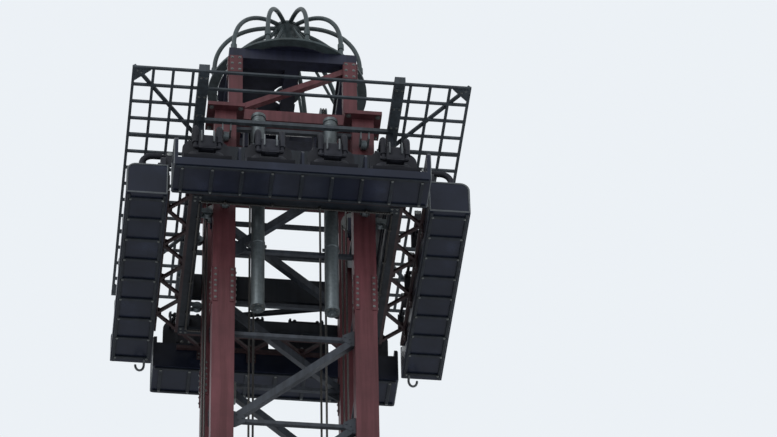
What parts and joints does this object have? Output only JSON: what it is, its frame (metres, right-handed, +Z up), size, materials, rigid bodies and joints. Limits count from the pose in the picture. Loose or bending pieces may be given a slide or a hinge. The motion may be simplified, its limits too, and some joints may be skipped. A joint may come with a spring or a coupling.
{
  "type": "1:2 scale model of a drop tower ride",
  "caption": "Square lattice mast with a seat gondola that climbs it and drops, over-the-shoulder restraints, a mesh roof and a domed crown of hoops on top.",
  "frame": {"origin": "on the ground on the mast's axis", "axes": "+Z up along the mast, -Y towards the side that the picture shows in front, +X to the right of it"},
  "size_m": [2.17, 2.17, 23.0664],
  "materials": {
    "mast_paint": "semi-gloss maroon paint over welded box steel",
    "lattice_paint": "slate blue paint, slightly chalked",
    "crown_paint": "slate green paint",
    "base_paint": "slate paint, scuffed near the ground",
    "head_paint": "dark navy paint",
    "bare_steel": "galvanised and machined steel",
    "carriage_paint": "dark navy paint",
    "outrigger_paint": "dark brown-red paint",
    "tub_shell": "glossy dark navy fibre-glass shell",
    "seat_shell": "matte moulded seat shell",
    "roof_paint": "slate paint",
    "restraint_coat": "black powder coat on steel tube, under foam sleeves"
  },
  "bodies": {
    "tower": {"base_frame": "base_paint", "column_feet": "mast_paint", "column_front_left": "mast_paint", "column_front_right": "mast_paint", "column_back_left": "mast_paint", "column_back_right": "mast_paint", "column_caps": "mast_paint", "lattice_front": "lattice_paint", "lattice_back": "lattice_paint", "lattice_left": "lattice_paint", "lattice_right": "lattice_paint", "head_lower_frame": "mast_paint", "head_posts": "mast_paint", "head_top_frame": "head_paint", "head_deck": "head_paint", "sheave_carrier": "head_paint", "sheaves": "bare_steel", "buffer_cylinders": "bare_steel", "crown_post": "crown_paint", "crown_hoops": "crown_paint"},
    "gondola": {"side_frame_front": "carriage_paint", "side_frame_back": "carriage_paint", "side_frame_left": "carriage_paint", "side_frame_right": "carriage_paint", "outriggers": "outrigger_paint", "seat_tub_front": "tub_shell", "seat_tub_back": "tub_shell", "seat_tub_left": "tub_shell", "seat_tub_right": "tub_shell", "seats_front": "seat_shell", "seats_back": "seat_shell", "seats_left": "seat_shell", "seats_right": "seat_shell", "roof_frame": "roof_paint", "roof_mesh": "roof_paint", "guide_rollers": "bare_steel"},
    "restraint_front_1": {"restraint_front_1": "restraint_coat"},
    "restraint_front_2": {"restraint_front_2": "restraint_coat"},
    "restraint_front_3": {"restraint_front_3": "restraint_coat"},
    "restraint_front_4": {"restraint_front_4": "restraint_coat"},
    "restraint_back_1": {"restraint_back_1": "restraint_coat"},
    "restraint_back_2": {"restraint_back_2": "restraint_coat"},
    "restraint_back_3": {"restraint_back_3": "restraint_coat"},
    "restraint_back_4": {"restraint_back_4": "restraint_coat"},
    "restraint_left_1": {"restraint_left_1": "restraint_coat"},
    "restraint_left_2": {"restraint_left_2": "restraint_coat"},
    "restraint_left_3": {"restraint_left_3": "restraint_coat"},
    "restraint_left_4": {"restraint_left_4": "restraint_coat"},
    "restraint_right_1": {"restraint_right_1": "restraint_coat"},
    "restraint_right_2": {"restraint_right_2": "restraint_coat"},
    "restraint_right_3": {"restraint_right_3": "restraint_coat"},
    "restraint_right_4": {"restraint_right_4": "restraint_coat"}
  },
  "joints": [
    {"name": "gondola_lift", "type": "slide", "parent": "tower", "child": "gondola", "axis": [0, 0, 1], "range_m": [-20.3, 0]},
    {"name": "restraint_front_1_swing", "type": "hinge", "parent": "gondola", "child": "restraint_front_1", "pos_m": [-0.5925, -0.812, 21.142], "axis": [-1, 0, 0], "range_deg": [0, 85]},
    {"name": "restraint_front_2_swing", "type": "hinge", "parent": "gondola", "child": "restraint_front_2", "pos_m": [-0.1975, -0.812, 21.142], "axis": [-1, 0, 0], "range_deg": [0, 85]},
    {"name": "restraint_front_3_swing", "type": "hinge", "parent": "gondola", "child": "restraint_front_3", "pos_m": [0.1975, -0.812, 21.142], "axis": [-1, 0, 0], "range_deg": [0, 85]},
    {"name": "restraint_front_4_swing", "type": "hinge", "parent": "gondola", "child": "restraint_front_4", "pos_m": [0.5925, -0.812, 21.142], "axis": [-1, 0, 0], "range_deg": [0, 85]},
    {"name": "restraint_back_1_swing", "type": "hinge", "parent": "gondola", "child": "restraint_back_1", "pos_m": [0.5925, 0.812, 21.142], "axis": [1, 0, 0], "range_deg": [0, 85]},
    {"name": "restraint_back_2_swing", "type": "hinge", "parent": "gondola", "child": "restraint_back_2", "pos_m": [0.1975, 0.812, 21.142], "axis": [1, 0, 0], "range_deg": [0, 85]},
    {"name": "restraint_back_3_swing", "type": "hinge", "parent": "gondola", "child": "restraint_back_3", "pos_m": [-0.1975, 0.812, 21.142], "axis": [1, 0, 0], "range_deg": [0, 85]},
    {"name": "restraint_back_4_swing", "type": "hinge", "parent": "gondola", "child": "restraint_back_4", "pos_m": [-0.5925, 0.812, 21.142], "axis": [1, 0, 0], "range_deg": [0, 85]},
    {"name": "restraint_left_1_swing", "type": "hinge", "parent": "gondola", "child": "restraint_left_1", "pos_m": [-0.812, 0.5925, 21.142], "axis": [0, 1, 0], "range_deg": [0, 85]},
    {"name": "restraint_left_2_swing", "type": "hinge", "parent": "gondola", "child": "restraint_left_2", "pos_m": [-0.812, 0.1975, 21.142], "axis": [0, 1, 0], "range_deg": [0, 85]},
    {"name": "restraint_left_3_swing", "type": "hinge", "parent": "gondola", "child": "restraint_left_3", "pos_m": [-0.812, -0.1975, 21.142], "axis": [0, 1, 0], "range_deg": [0, 85]},
    {"name": "restraint_left_4_swing", "type": "hinge", "parent": "gondola", "child": "restraint_left_4", "pos_m": [-0.812, -0.5925, 21.142], "axis": [0, 1, 0], "range_deg": [0, 85]},
    {"name": "restraint_right_1_swing", "type": "hinge", "parent": "gondola", "child": "restraint_right_1", "pos_m": [0.812, -0.5925, 21.142], "axis": [0, -1, 0], "range_deg": [0, 85]},
    {"name": "restraint_right_2_swing", "type": "hinge", "parent": "gondola", "child": "restraint_right_2", "pos_m": [0.812, -0.1975, 21.142], "axis": [0, -1, 0], "range_deg": [0, 85]},
    {"name": "restraint_right_3_swing", "type": "hinge", "parent": "gondola", "child": "restraint_right_3", "pos_m": [0.812, 0.1975, 21.142], "axis": [0, -1, 0], "range_deg": [0, 85]},
    {"name": "restraint_right_4_swing", "type": "hinge", "parent": "gondola", "child": "restraint_right_4", "pos_m": [0.812, 0.5925, 21.142], "axis": [0, -1, 0], "range_deg": [0, 85]}
  ]
}
